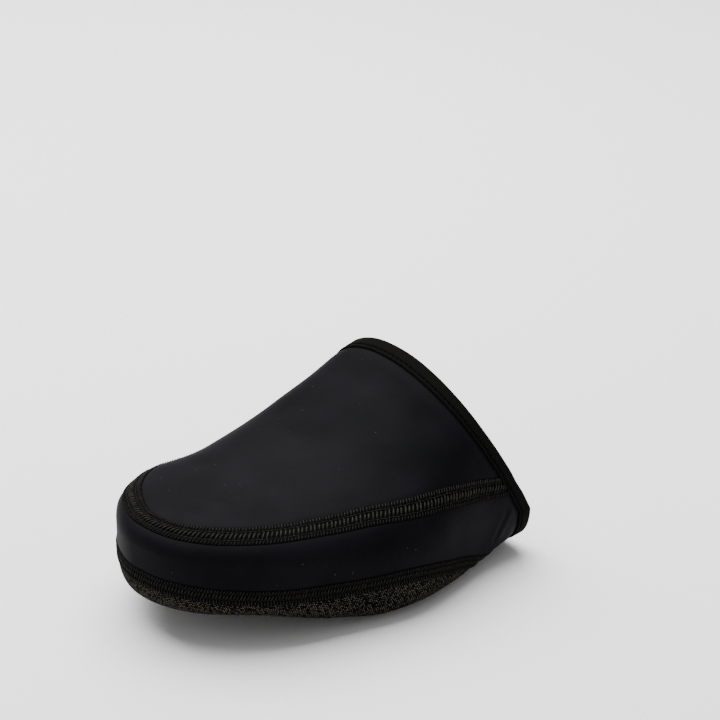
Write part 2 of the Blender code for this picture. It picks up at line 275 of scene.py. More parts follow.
def section(side, tLow, tHigh, edgeLow, edgeHigh, wideLow, wideHigh, low, high):
    # from under the middle round the widest line to the crown: x runs from the crown line to the edge
    # by the across share, z from the widest line to the underside or crown by the down or up share
    middle = -form["crownShift"]
    lowX = middle + (edgeLow - middle) * low[0]
    lowZ = np.maximum(wideLow - (wideLow - undersideZ(tLow)) * low[1], 0)
    highX = middle + (edgeHigh - middle) * high[0]
    highZ = wideHigh + (crownZ(tHigh) - wideHigh) * high[1]
    under = np.stack(np.broadcast_arrays(lowX, tLow, lowZ), axis=-1)
    over = np.stack(np.broadcast_arrays(highX, tHigh, highZ), axis=-1)
    return np.concatenate([under, over[:, 1:]], axis=1)


# Turns round a quarter: the underside is so square that its turns crowd towards the middle
topTurn = np.linspace(0, math.pi / 2, detail["steps"])[None, :]
underTurn = math.pi / 2 * np.linspace(0, 1, detail["steps"])[None, :] ** detail["middleCrowding"]


def rearSections(side):
    # behind the toe's centre each section leans as the collar does
    share = 1 - np.linspace(1, 0, detail["rearColumns"]) ** detail["collarCrowding"]
    trim = np.linspace(form["tapeWidth"], 0, detail["tapeColumns"] + 1)[1:]
    ahead = np.concatenate([share, np.ones(len(trim))])[:, None]
    back = np.concatenate([np.full(len(share), form["tapeWidth"]), trim])[:, None]

    def place(height):
        # a share of the way from the toe's centre to the collar, which leans by a power of the height
        lean = form["collarLean"] * (1 - (1 - height) ** form["collarBow"])
        return form["toeRound"] + (form["length"] - lean - back - form["toeRound"]) * ahead

    under = ahead ** squareness["underEase"]
    low = quarter(eased("underAcross", under), eased("underDown", under), underTurn)
    top = eased(side + "Top", ahead)
    up, across = quarter(np.maximum(top, 2), top, topTurn)
    tLow = place(form["collarLow"] * (1 - low[1]))
    tHigh = place(form["collarLow"] + (1 - form["collarLow"]) * up)
    return section(side, tLow, tHigh, edgeX(side, tLow), edgeX(side, tHigh),
                   widestZ(tLow), widestZ(tHigh), low, (across, up))


def toeSections(side):
    # round the toe the sections turn about one centre, from the tip to that side
    swing = np.linspace(0, math.pi / 2, detail["toeColumns"] + 1)[:-1, None]
    bend = 2 / squareness[side + "Toe"]
    tEdge = form["toeRound"] * (1 - np.cos(swing) ** bend)
    edge = drift(tEdge) + (edgeX(side, tEdge) - drift(tEdge)) * np.sin(swing) ** bend
    tip = np.cos(swing) ** 2
    top = eased(side + "Top", 1 - tip, fromToe=True)
    low = quarter(squareness["underAcross"][0], squareness["underDown"][0], underTurn)
    up, across = quarter(top, top, topTurn)
    wide = widestZ(tEdge)
    tLow = form["toeRound"] + (tEdge - form["toeRound"]) * low[0]
    tHigh = form["toeRound"] + (tEdge - form["toeRound"]) * across
    return section(side, tLow, tHigh, edge, edge, wide, wide, low, (across, up))


def readAlong(values, along, at):
    # values of every section at its own places: the sections are laid end to end, 10 m apart so that
    # none meets the next, and read at once
    apart = 10 * np.arange(len(values))[:, None]
    line, places = (along + apart).ravel(), at + apart
    return np.stack([np.interp(places, line, values[..., i].ravel()) for i in range(values.shape[-1])],
                    axis=-1)


def measured(points):
    # distance along each section, and the same mixed with how far it has turned: bends get more rows
    step = np.diff(points, axis=1)
    size = np.linalg.norm(step, axis=-1)
    heading = unit(step)
    bend = np.arccos(np.clip(np.sum(heading[:, 1:] * heading[:, :-1], axis=-1), -1, 1))
    start = np.zeros((len(points), 1))
    length = np.concatenate([start, np.cumsum(size, axis=1)], axis=1)
    turned = np.concatenate([start, start, np.cumsum(bend, axis=1)], axis=1)
    return length, length / length[:, -1:] + detail["bendWeight"] * turned / turned[:, -1:]


def surfaceNormals(points):
    # cross of the two grid directions; the two sides share theirs along the middle lines and poles
    normals = unit(np.cross(np.gradient(points, axis=1), np.gradient(points, axis=0)))
    for row, near in ((0, 2), (-1, -3)):
        line = normals[:, near] + normals[::-1, near]
        toe = slice(toeStart, len(points) - toeStart)
        line[toe] = line[toe].mean(axis=0)
        normals[:, row] = unit(line)
    return normals


# Soft folds of the cloth: three places on a bent line, as shares of (length from the toe, ball width
# to the outer side, instep height), then width and depth in metres. A negative depth is a ridge
folds = [
    # pull lines over the toe box, towards the seam
    (((0.16, -0.01, 0.60), (0.185, 0.07, 0.60), (0.205, 0.17, 0.59)), 0.0042, -0.0005),
    (((0.21, -0.01, 0.61), (0.235, 0.05, 0.61), (0.255, 0.13, 0.60)), 0.0040, 0.0006),
    (((0.10, -0.01, 0.59), (0.125, 0.06, 0.59), (0.145, 0.12, 0.59)), 0.0040, 0.0005),
    # hollow where the toes begin, then up the middle of the instep
    (((0.40, -0.16, 0.63), (0.49, -0.08, 0.66), (0.58, 0.04, 0.70)), 0.0080, 0.0009),
    (((0.58, 0.04, 0.70), (0.66, 0.02, 0.80), (0.71, -0.06, 0.84)), 0.0070, 0.0006),
    (((0.50, 0.06, 0.67), (0.58, 0.16, 0.68), (0.66, 0.24, 0.70)), 0.0100, -0.0006),
    # dimple beside the tape
    (((0.74, 0.22, 0.82), (0.78, 0.29, 0.77), (0.80, 0.35, 0.70)), 0.0055, 0.0006),
    # creases in the side wall, below and ahead of the tape
    (((0.93, 0.455, 0.29), (0.906, 0.457, 0.23), (0.884, 0.457, 0.16)), 0.0015, -0.00045),
    (((0.90, 0.460, 0.29), (0.874, 0.462, 0.23), (0.852, 0.464, 0.17)), 0.0015, -0.00028),
    (((0.915, 0.458, 0.29), (0.890, 0.460, 0.23), (0.868, 0.461, 0.16)), 0.0015, 0.00030),
    (((0.70, 0.51, 0.40), (0.72, 0.51, 0.30), (0.71, 0.50, 0.20)), 0.0050, 0.0003),
    (((0.10, 0.30, 0.36), (0.16, 0.37, 0.30), (0.26, 0.43, 0.28)), 0.0060, -0.0003),
]
surface = {
    "foldPoints": 24, "foldBeside": 0.35, "foldBesideWidth": 2,
    "seamDip": 0.00030, "seamDipWidth": 0.0030,  # stitching presses the cloth down
    "seamSwell": 0.00010, "seamSwellAt": 0.0062, "seamSwellWidth": 0.0026,
    # unevenness of the cloth. Each wave: radians in a metre along x, y and z, and where it starts
    "ripple": 0.00010,
    "rippleWaves": ((120, 190, 0, 0), (230, -90, 0, 1), (0, 60, 160, 0)),
    "squeeze": 0.00035, "squeezeTo": 0.0062, "squeezeSoft": 0.0006,  # under the tape
    "tapeSwell": 0.00010, "tapeSwellAt": 0.0095, "tapeSwellWidth": 0.0022,
}


def foldRelief(points, places, width, depth):
    # a chain of round bells along a parabola through the three places, less a wider and lower one:
    # soft ridges stay beside the fold
    scale = np.array([form["length"], form["ballWidth"], form["instep"]])
    first, middle, last = np.array(places) * scale
    s = np.linspace(0, 1, surface["foldPoints"])[:, None]
    line = first * (1 - s) ** 2 + (4 * middle - first - last) * s * (1 - s) + last * s ** 2
    line = line[:, [1, 0, 2]]
    gap = np.linalg.norm(line[1:] - line[:-1], axis=1).mean()
    away = np.sum((points[..., None, :] - line) ** 2, axis=-1)

    def bells(reach):
        # the exponentials summed, over what they add up to beside a long line
        return np.sum(np.exp(-away / reach ** 2), axis=-1) * gap / (reach * math.sqrt(math.pi))

    return depth * (surface["foldBeside"] * bells(surface["foldBesideWidth"] * width) - bells(width))


def seamRelief(distance):
    # down under the seam, and a little up on both sides of it
    up = bell(np.abs(distance) - surface["seamSwellAt"], surface["seamSwellWidth"])
    return surface["seamSwell"] * up - surface["seamDip"] * bell(distance, surface["seamDipWidth"])


def collarRelief(points):
    # the tape squeezes the collar's edge, and the cloth swells ahead of it
    edge = np.concatenate([np.repeat(points[:1], (len(points) + 1) // 2, axis=0),
                           np.repeat(points[-1:], len(points) // 2, axis=0)])
    fromEdge = np.linalg.norm(points - edge, axis=-1)
    swell = surface["tapeSwell"] * bell(fromEdge - surface["tapeSwellAt"], surface["tapeSwellWidth"])
    return swell - surface["squeeze"] * softStep(fromEdge, surface["squeezeTo"], surface["squeezeSoft"])


def rippleRelief(points):
    # product of the sines of three slow waves in different directions
    waves = [np.sin(points @ np.array(wave[:3]) + wave[3]) for wave in surface["rippleWaves"]]
    return surface["ripple"] * np.prod(waves, axis=0)


def seamPlaces(points, length):
    # how far round each section, from the middle of the underside, the two seams lie
    edgeRow = detail["steps"] - 1
    t = points[:, edgeRow, 1]
    outerSide = np.arange(len(points)) <= len(points) // 2
    climb = np.where(outerSide, smoothTable(seamLines, "lateral", t), smoothTable(seamLines, "medial", t))
    drop = smoothTable(seamLines, "sole", t)
    return length[:, edgeRow] + climb * form["instep"], length[:, edgeRow] - drop * form["ballWidth"]


def buildSkin():
    # the outer face as one grid: sections from the outer end of the collar round the toe to its inner
    # end, each from under the middle to the crown, raised and lowered along their normals
    halves = {side: np.concatenate([rearSections(side)[::-1], toeSections(side)[::-1]])
              for side in ("lateral", "medial")}
    points = np.concatenate([halves["lateral"], halves["medial"][::-1][1:]])
    normals = surfaceNormals(points)
    plain, _ = measured(points)
    upper, sole = seamPlaces(points, plain)
    relief = sum(foldRelief(points, *fold) for fold in folds)
    relief += seamRelief(plain - upper[:, None]) + seamRelief(plain - sole[:, None])
    relief += rippleRelief(points) + collarRelief(points)
    points = points + normals * relief[..., None]
    points[..., 2] = np.maximum(points[..., 2], 0)
    # the two sides meet on the middle lines, and the toe's sections at one pole
    middle = (points[:, [0, -1]] + points[::-1, [0, -1]]) / 2
    toe = slice(toeStart, len(points) - toeStart)
    middle[toe] = middle[toe].mean(axis=0)
    points[:, [0, -1]] = middle
    points = points + np.array([footAxis, toeTip, 0])
    length, mixed = measured(points)
    # a seam stays on its own part of the cloth, where folds and tape have changed the distances
    moved = readAlong(length[..., None], plain, np.stack([upper, sole], axis=-1))[..., 0]
    return {"points": points, "normals": surfaceNormals(points), "length": length, "mixed": mixed,
            "upper": moved[:, 0], "sole": moved[:, 1]}


skin = buildSkin()
print("form worked out:", skin["points"].shape)


def acrossSeam(centre, offsets):
    # places beside a seam, further along the section where the seam crosses it askew
    line = unit(np.gradient(readAlong(skin["points"], skin["length"], centre[:, None])[:, 0], axis=0))
    run = unit(readAlong(np.gradient(skin["points"], axis=1), skin["length"], centre[:, None])[:, 0])
    askew = np.linalg.norm(np.cross(line, run), axis=-1)
    return centre[:, None] + np.array(offsets)[None, :] / askew[:, None]


def weld(index, weldedRows):
    # the two sides share the middle line, and the toe's columns one pole on it
    index = index.copy()
    last = len(index) - 1
    half = np.arange(last // 2 + 1, last + 1)
    for row in weldedRows:
        index[half, row] = index[last - half, row]
        index[toeStart:last - toeStart + 1, row] = index[toeStart, row]
    return index


def rimQuads(first, second, toInner):
    # cells between two neighbouring lines of outer vertices and the inner ones behind them
    return np.stack([first, second, second + toInner, first + toInner], axis=-1)


def clothPiece(name, marks, rowCounts, wall, weldedRows, outerMaterial, innerMaterial):
    # a stretch of the skin between marks along each section, with a wall towards the foot
    marks = readAlong(skin["mixed"][..., None], skin["length"], np.stack(marks, axis=-1))[..., 0]
    shares = [i + np.linspace(0, 1, count + 1)[1:] for i, count in enumerate(rowCounts)]
    shares = np.concatenate([[0], *shares])
    rows = np.array([np.interp(shares, np.arange(len(line)), line) for line in marks])
    outer = readAlong(skin["points"], skin["mixed"], rows)
    inner = outer - unit(readAlong(skin["normals"], skin["mixed"], rows)) * wall
    count = rows.size
    plainIndex = np.arange(count).reshape(rows.shape)
    index = weld(plainIndex, weldedRows)
    # rims at the collar and along the open rows
    rims = [rimQuads(index[0, 1:], index[0, :-1], count), rimQuads(index[-1, :-1], index[-1, 1:], count)]
    if 0 not in weldedRows:
        rims.append(rimQuads(index[:-1, 0], index[1:, 0], count))
    if -1 not in weldedRows:
        rims.append(rimQuads(index[1:, -1], index[:-1, -1], count))
    rims = np.concatenate(rims)
    faces = np.concatenate([gridQuads(index), gridQuads(index + count)[:, ::-1], rims])
    # cloth coordinates in metres: along the cover's outline, and round each section
    along = runAlong(skin["points"][:, detail["steps"] - 1])
    run = readAlong(skin["length"][..., None], skin["mixed"], rows)[..., 0]
    flat = np.stack([np.broadcast_to(along[:, None], run.shape), run], axis=-1).reshape(-1, 2)
    flatOuter = flat[gridQuads(plainIndex)]
    uvs = np.concatenate([flatOuter, flatOuter[:, ::-1], flat[rims % count]])
    slots = np.zeros(len(faces))
    slots[len(flatOuter):2 * len(flatOuter)] = 1
    # at a pole a corner repeats the one before: such a cell is a triangle, and closed up ones go
    single = faces != np.roll(faces, 1, axis=1)
    quads, triangles = single.sum(axis=1) == 4, single.sum(axis=1) == 3
    three, threeUv = faces[triangles][single[triangles]], uvs[triangles][single[triangles]]
    corners = np.concatenate([faces[quads].ravel(), three])
    used, corners = np.unique(corners, return_inverse=True)
    four, three = np.split(corners.ravel(), [4 * np.count_nonzero(quads)])
    vertices = np.concatenate([outer.reshape(-1, 3), inner.reshape(-1, 3)])[used]
    return putMesh(name, vertices, [four.reshape(-1, 4), three.reshape(-1, 3)],
                   uvs=np.concatenate([uvs[quads].reshape(-1, 2), threeUv]),
                   materials=(outerMaterial, innerMaterial), slots=[slots[quads], slots[triangles]])


# Materials

def newMaterial(name, settings):
    # a Principled shader with these inputs
    made = bpy.data.materials.new(name)
    made.use_nodes = True
    shader = made.node_tree.nodes["Principled BSDF"]
    for key, value in settings.items():
        shader.inputs[key].default_value = value
    return made, made.node_tree, shader


def endShader(tree, shader, colour, height, bump):
    # the colour, and a bump over the height, go into the shader
    relief = addNode(tree, "Bump", bump, {"Height": height})
    tree.links.new(relief.outputs["Normal"], shader.inputs["Normal"])
    tree.links.new(colour, shader.inputs["Base Color"])


def twoStops(low, high, first, last):
    # settings of a colour ramp that goes from the first colour at low to the last one at high
    return {"stops": ((low, hexColour(first)), (high, hexColour(last)))}


softshellLook = {
    "dark": "#0a0a0d", "light": "#100f13", "cloudSize": 0.022,
    "dust": "#8b8c90", "dustAmount": 0.16, "dustSpacing": 0.0042, "patchSize": 0.030,
    "grainSize": 0.0005, "grainDepth": 0.00004,
}


def softshell(name, look):
    # Stretch softshell: knitted polyester laminated under a thin polyurethane film. The film makes it
    # smooth and matt, with a faint grain and a soft bluish lift where light grazes it
    made, tree, shader = newMaterial(name, {
        "Roughness": 0.58, "IOR": 1.46, "Specular IOR Level": 0.022, "Sheen Weight": 0.004,
        "Sheen Roughness": 0.35, "Sheen Tint": hexColour("#b4b8cc")})
    place = addNode(tree, "TexCoord").outputs["Object"]
    cloud = addNode(tree, "TexNoise", {"Scale": 1 / look["cloudSize"], "Detail": 3.0, "Roughness": 0.5},
                    {"Vector": place})
    colour = addNode(tree, "ValToRGB", twoStops(0.35, 0.68, look["dark"], look["light"]),
                     {"Fac": cloud.outputs["Fac"]})
    # lint and dust: specks about 0.4 mm across, not one in each square centimetre, and in patches only
    speck = addNode(tree, "TexVoronoi", {"Scale": 1 / look["dustSpacing"]}, {"Vector": place})
    dust = addNode(tree, "ValToRGB", twoStops(0.035, 0.07, "#ffffff", "#000000"),
                   {"Fac": speck.outputs["Distance"]})
    patch = addNode(tree, "TexNoise", {"Scale": 1 / look["patchSize"], "Detail": 2.0}, {"Vector": place})
    some = addNode(tree, "ValToRGB", twoStops(0.44, 0.58, "#000000", "#ffffff"),
                   {"Fac": patch.outputs["Fac"]})
    amount = addNode(tree, "Math", {"operation": "MULTIPLY"},
                     {0: dust.outputs["Color"], 1: some.outputs["Color"]})
    faint = addNode(tree, "Math", {"operation": "MULTIPLY", 1: look["dustAmount"]}, {0: amount.outputs[0]})
    # a Mix node's colours are its inputs 6 and 7 and its output 2
    mixed = addNode(tree, "Mix", {"data_type": "RGBA", 7: hexColour(look["dust"])},
                    {0: faint.outputs[0], 6: colour.outputs["Color"]})
    # grain of the film over the knit, drawn at 0.5 mm so that it shows
    grain = addNode(tree, "TexNoise", {"Scale": 1 / look["grainSize"], "Detail": 2.0, "Roughness": 0.6},
                    {"Vector": place})
    endShader(tree, shader, mixed.outputs[2], grain.outputs["Fac"],
              {"Strength": 0.35, "Distance": look["grainDepth"]})
    return made


fleeceLook = {"dark": "#141416", "light": "#222225", "napSize": 0.0011, "napDepth": 0.0003}


def fleece(name, look):
    # Brushed polyester fleece: the knit's own back, napped, so it is dull and slightly furry
    made, tree, shader = newMaterial(name, {
        "Roughness": 0.95, "Specular IOR Level": 0.2, "Sheen Weight": 0.35, "Sheen Roughness": 0.6,
        "Sheen Tint": hexColour("#8d8d92")})
    place = addNode(tree, "TexCoord").outputs["Object"]
    nap = addNode(tree, "TexNoise", {"Scale": 1 / look["napSize"], "Detail": 4.0, "Roughness": 0.7},
                  {"Vector": place})
    tone = addNode(tree, "ValToRGB", twoStops(0.3, 0.7, look["dark"], look["light"]),
                   {"Fac": nap.outputs["Fac"]})
    endShader(tree, shader, tone.outputs["Color"], nap.outputs["Fac"],
              {"Strength": 0.6, "Distance": look["napDepth"]})
    return made


# loops 0.85 mm wide in courses 0.7 mm apart, askew as on the turned-up edge
knitLook = {
    # gap: near-black between the loops, painted shade
    "gap": "#040404", "dark": "#10100f", "light": "#5b584c",
    "loopWidth": 0.00085, "courseHeight": 0.0007, "loopDepth": 0.00025, "askew": 0.45,
}


def abrasionKnit(name, look):
    # Abrasion-resistant knit: coarse black aramid and nylon loops, some of them with a tan filament.
    # Each cell of the pattern is one loop, with its own share of tan
    made, tree, shader = newMaterial(name, {"Roughness": 0.8, "Specular IOR Level": 0.012})
    cloth = addNode(tree, "TexCoord").outputs["UV"]
    size = addNode(tree, "Mapping", {"Scale": (1 / look["loopWidth"], 1 / look["courseHeight"], 1),
                                     "Rotation": (0, 0, look["askew"])}, {"Vector": cloth})
    loops = addNode(tree, "TexVoronoi", {"Scale": 1.0, "Randomness": 0.35, "voronoi_dimensions": "2D"},
                    {"Vector": size.outputs["Vector"]})
    # white on each loop's crest, black at its edge: the gaps go near-black, painted shade where the bump dips
    crest = addNode(tree, "ValToRGB", twoStops(0.14, 0.38, "#ffffff", "#000000"),
                    {"Fac": loops.outputs["Distance"]})
    chance = addNode(tree, "SeparateColor", links={"Color": loops.outputs["Color"]})
    yarn = addNode(tree, "ValToRGB", twoStops(0.10, 0.80, look["dark"], look["light"]),
                   {"Fac": chance.outputs["Red"]})
    mixed = addNode(tree, "Mix", {"data_type": "RGBA", 6: hexColour(look["gap"])},
                    {0: crest.outputs["Color"], 7: yarn.outputs["Color"]})
    endShader(tree, shader, mixed.outputs[2], loops.outputs["Distance"],
              {"Strength": 0.8, "Distance": look["loopDepth"], "invert": True})
    return made


threadLook = {"fluffSize": 0.0009, "twistSize": 0.0008, "twistDepth": 0.00006}


def sewingThread(name, look, dark, light):
    # Textured polyester looper thread: fluffy and matt, with plies that twist round it
    made, tree, shader = newMaterial(name, {"Roughness": 0.7, "Specular IOR Level": 0.015})
    place = addNode(tree, "TexCoord").outputs["Object"]
    fluff = addNode(tree, "TexNoise", {"Scale": 1 / look["fluffSize"], "Detail": 3.0}, {"Vector": place})
    tone = addNode(tree, "ValToRGB", twoStops(0.3, 0.7, dark, light), {"Fac": fluff.outputs["Fac"]})
    twist = addNode(tree, "TexWave", {"Scale": 1 / look["twistSize"], "Distortion": 1.0,
                                      "bands_direction": "DIAGONAL"}, {"Vector": place})
    endShader(tree, shader, tone.outputs["Color"], twist.outputs["Fac"],
              {"Strength": 0.5, "Distance": look["twistDepth"]})
    return made


# ribs 0.5 mm apart in the cloth, drawn at 0.7 mm so that they show
# dark is painted shade in the rib troughs, light is painted light on the rib crests
tapeLook = {"dark": "#040404", "light": "#181716", "ribPitch": 0.0007, "ribDepth": 0.00018,
            "ribLength": 0.0012}


def ribbedTape(name, look):
    # Folded elastic binding: nylon over rubber yarns, woven with fine ribs across the tape
    made, tree, shader = newMaterial(name, {"Roughness": 0.8, "Specular IOR Level": 0.012})
    cloth = addNode(tree, "TexCoord").outputs["UV"]
    size = addNode(tree, "Mapping", {"Scale": (1 / look["ribPitch"], 1 / look["ribLength"], 1)},
                   {"Vector": cloth})
    # at a scale of 0.314 a wave repeats once in each unit
    ribs = addNode(tree, "TexWave", {"Scale": 0.314, "Distortion": 0.6, "Detail": 1.0},
                   {"Vector": size.outputs["Vector"]})
    # the tone follows the same waves as the bump, darker in the troughs and lighter on the crests: painted
    # shade and painted light
    tone = addNode(tree, "ValToRGB", twoStops(0.3, 0.9, look["dark"], look["light"]),
                   {"Fac": ribs.outputs["Fac"]})
    endShader(tree, shader, tone.outputs["Color"], ribs.outputs["Fac"],
              {"Strength": 0.8, "Distance": look["ribDepth"]})
    return made


clothFinish = softshell("coatedSoftshell", softshellLook)
fleeceFinish = fleece("brushedFleece", fleeceLook)
knitFinish = abrasionKnit("abrasionKnit", knitLook)
upperThreadFinish = sewingThread("upperLooperThread", threadLook, "#1c1c1b", "#353430")
# this darker thread is also painted shade on the upper seam's lower row of bars
soleThreadAndRowShadeFinish = sewingThread("soleLooperThreadAndRowShade", threadLook, "#181817", "#2a2926")
# near-black: painted shade under and between the seam threads, on the bed that also closes the gap between
# the two cloths; the cuff stitches use it too
shadeBedFinish = sewingThread("seamShadeBed", threadLook, "#030303", "#060607")
tapeFinish = ribbedTape("elasticBindingTape", tapeLook)
print("materials made")


# Upper: side wall, the cloth under the upper seam, and vamp

halfSeam = form["upperSeamWidth"] / 2
upperMarks = [acrossSeam(skin["sole"], [form["buttGap"] / 2])[:, 0],
              *acrossSeam(skin["upper"], [-halfSeam, halfSeam]).T, skin["length"][:, -1]]
upperRows = (detail["sideRows"], detail["seamRows"], detail["vampRows"])
upper = clothPiece("upperCloth", upperMarks, upperRows, form["upperWall"], (-1,), clothFinish, fleeceFinish)
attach(upper, "root")
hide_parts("upper")
print("upper made:", len(upper.data.polygons), "faces")


# Outsole with its cleat window

cleatWindow = {
    "length": 0.0640, "width": 0.0520, "corner": 0.0120, "fromTip": 0.0990, "toInner": 0.0025,
    "cornerPoints": 12,
    "reach": 0.02,             # the cutter stands this far over and under the floor
}


def windowOutline():
    # rounded rectangle: each corner is a quarter circle, points in order round it
    corner, count = cleatWindow["corner"], cleatWindow["cornerPoints"]
    halfX, halfY = cleatWindow["width"] / 2 - corner, cleatWindow["length"] / 2 - corner
    turn = np.linspace(0, math.pi / 2, count)
    quarterTurns = np.concatenate([turn + i * math.pi / 2 for i in range(4)])
    x = halfX * np.repeat([1, -1, -1, 1], count) + corner * np.cos(quarterTurns)
    y = halfY * np.repeat([1, 1, -1, -1], count) + corner * np.sin(quarterTurns)
    return np.stack([x + footAxis - cleatWindow["toInner"], y + toeTip + cleatWindow["fromTip"]], axis=-1)


def cutWindow(piece):
    # the outline drawn up into a closed block, and taken out of the piece
    ring = windowOutline()
    low = np.column_stack([ring, np.full(len(ring), -cleatWindow["reach"])])
    high = np.column_stack([ring, np.full(len(ring), cleatWindow["reach"])])
    numbers = np.arange(2 * len(ring)).reshape(2, -1)
    cutter = putMesh("windowCutter", np.concatenate([low, high]),
                     [gridQuads(closeRound(numbers, 1))[:, ::-1], numbers[:1, ::-1], numbers[1:]])
    cut = piece.modifiers.new("window", "BOOLEAN")
    cut.operation = "DIFFERENCE"
    cut.solver = "EXACT"
    cut.object = cutter
    bpy.context.view_layer.update()
    whole = bpy.data.meshes.new_from_object(piece.evaluated_get(bpy.context.evaluated_depsgraph_get()))
    piece.modifiers.clear()
    piece.data = whole
    bpy.data.objects.remove(cutter)


soleMarks = [0 * skin["sole"], acrossSeam(skin["sole"], [-form["buttGap"] / 2])[:, 0]]
outsole = clothPiece("outsoleKnit", soleMarks, (detail["soleRows"],), form["soleWall"], (0,),
                     knitFinish, fleeceFinish)
cutWindow(outsole)
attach(outsole, "root")
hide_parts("outsole")
print("outsole made:", len(outsole.data.polygons), "faces")


# Threads of the two flatlock seams

seamGrid = {
    "lines": 9, "step": 0.0004,                             # lines along the seam, steps along them
    "spreadAfter": 0.020, "toeReach": 0.011,
    "sink": 0.0005, "sinkTo": 0.0042, "sinkSoft": 0.0003,   # pressed down under the tape
}
thread = {
    "sides": 5,
    "barTaper": (0.55, 1, 1.1, 1, 0.55),   # radius at places along a stitch, as shares
    "lineTaper": (0.5, 1, 1, 1, 0.5),
    "lineReach": 0.44,                     # half a needle stitch, as a share of its pitch
    "clearance": 0.00012,                  # centre of a thread's ends over the cloth
    "ends": 0.0016,                        # no stitch nearer to the collar's edge, under the tape
    "wobble": 0.05, "wobbleTurn": 2.4, "rowTurn": 9000,  # along it, a share of the pitch
    "uneven": 0.10, "unevenTurn": 1.7,                   # in length, both by sines from stitch to stitch
}
bed = {
    "steps": 420, "rise": 0.00020,
    "across": (-1, -0.9, -0.5, 0, 0.5, 0.9, 1, 0.9, 0, -0.9),             # shares of its half width
    "height": (-0.0001, 0.75, 1, 1, 1, 0.75, -0.0001, -1.2, -1.2, -1.2),  # and of its height
}


def tubes(centre, up, radius):
    # round each thread's own line: radius times (cosine of the angle sideways + sine along up)
    along = unit(np.gradient(centre, axis=1))
    sideways = unit(np.cross(up, along))
    lift = np.cross(along, sideways)
    angle = np.linspace(0, 2 * math.pi, thread["sides"], endpoint=False)[:, None]
    ring = np.cos(angle) * sideways[:, :, None] + np.sin(angle) * lift[:, :, None]
    return centre[:, :, None] + ring * radius[None, :, None, None]


def gatherTubes(tubeRows):
    # points of all rows of tubes, with their sides and the caps at their ends numbered through
    points, sides, caps, total = [], [], [], 0
    for made in tubeRows:
        index = np.arange(made[..., 0].size).reshape(made.shape[:3]) + total
        points.append(made.reshape(-1, 3))
        sides.append(gridQuads(closeRound(index, 2)))
        caps.append(np.concatenate([index[:, 0, ::-1], index[:, -1, :]]))
        total += index.size
    return points, sides, caps, total


def seamStrip(centre, stitch):
    # the cloth beside a seam as a grid, at even steps along it. Its lines across follow the sections, so
    # skew tells how far along the seam they run for each metre across. The seam spreads a little away
    # from the tape, by 1 less an exponential, and draws together round the toe, by a bell
    half = stitch["width"] / 2
    at = acrossSeam(centre, np.linspace(-half, half, seamGrid["lines"]))
    middle = readAlong(skin["points"], skin["length"], centre[:, None])[:, 0]
    fromTape = np.abs(middle[:, 1] - middle[0, 1])[:, None]
    fromToe = np.abs(middle[:, 1] - toeTip)[:, None]
    wide = 1 + stitch["spread"] * (1 - np.exp(-fromTape / seamGrid["spreadAfter"]))
    wide -= stitch["toeSqueeze"] * bell(fromToe, seamGrid["toeReach"])
    at = centre[:, None] + (at - centre[:, None]) * wide
    points = readAlong(skin["points"], skin["length"], at)[1:-1]
    normals = readAlong(skin["normals"], skin["length"], at)[1:-1]
    axis = seamGrid["lines"] // 2
    line = unit(np.gradient(points[:, axis], axis=0))
    across = unit(points[:, axis + 1] - points[:, axis - 1])
    skew = np.sum(line * across, axis=1) / np.linalg.norm(np.cross(line, across), axis=1)
    run = runAlong(points[:, axis])
    fromEnd = np.minimum(run, run[-1] - run)
    sink = seamGrid["sink"] * softStep(fromEnd, seamGrid["sinkTo"], seamGrid["sinkSoft"])
    points = points - normals * sink[:, None, None]
    count = int(run[-1] / seamGrid["step"])
    steps = np.linspace(0, run[-1], count + 1)
    even = readEvenly(np.concatenate([points, normals], axis=-1).reshape(len(run), -1), run, steps)
    return {"values": even.reshape(count + 1, seamGrid["lines"], 6), "skew": np.interp(steps, run, skew),
            "half": half, "length": run[-1], "count": count}


def onStrip(strip, along, across, height, square=True):
    # a point so far along and across a seam, and so high above the cloth, between its four neighbours;
    # square to the seam, it moves along by skew for each metre across
    along, across, height = np.broadcast_arrays(along, across, height)
    cells = seamGrid["lines"] - 1
    i = np.clip(along / strip["length"], 0, 1) * strip["count"]
    if square:
        along = along - across * np.interp(i, np.arange(strip["count"] + 1), strip["skew"])
        i = np.clip(along / strip["length"], 0, 1) * strip["count"]
    j = np.clip((across + strip["half"]) / (2 * strip["half"]), 0, 1) * cells
    i0 = np.clip(np.floor(i).astype(int), 0, strip["count"] - 1)
    j0 = np.clip(np.floor(j).astype(int), 0, cells - 1)
    u, v = (i - i0)[..., None], (j - j0)[..., None]
    values = strip["values"]
    near = values[i0, j0] * (1 - v) + values[i0, j0 + 1] * v
    far = values[i0 + 1, j0] * (1 - v) + values[i0 + 1, j0 + 1] * v
    found = near * (1 - u) + far * u
    normal = unit(found[..., 3:])
    return found[..., :3] + normal * height[..., None], normal


# Each row of stitches: middle and half length across the seam (up is towards the crown), lean along
# the seam from its middle to its upper end, pitch, thread radius and rise over the bed, in metres.
# Slot 2 is the darker thread of the sole seam, used here as painted shade on a lower row of bars
upperStitch = {
    "width": form["upperSeamWidth"], "spread": 0.20, "toeSqueeze": 0.36,
    "bars": (
        {"at": 0.0027, "half": 0.00070, "lean": -0.00030,
         "pitch": 0.00125, "radius": 0.00020, "rise": 0.00028},
        {"at": -0.0001, "half": 0.00120, "lean": -0.00070,
         "pitch": 0.00165, "radius": 0.00032, "rise": 0.00040},
        # painted shade: this lower row takes the darker thread in slot 2
        {"at": -0.0028, "half": 0.00065, "lean": -0.00040,
         "pitch": 0.00125, "radius": 0.00019, "rise": 0.00022, "slot": 2},
    ),
    "lines": (
        {"at": 0.00155, "pitch": 0.00165, "radius": 0.00014, "rise": 0.00016},
        {"at": -0.00170, "pitch": 0.00165, "radius": 0.00014, "rise": 0.00014},
    ),
}
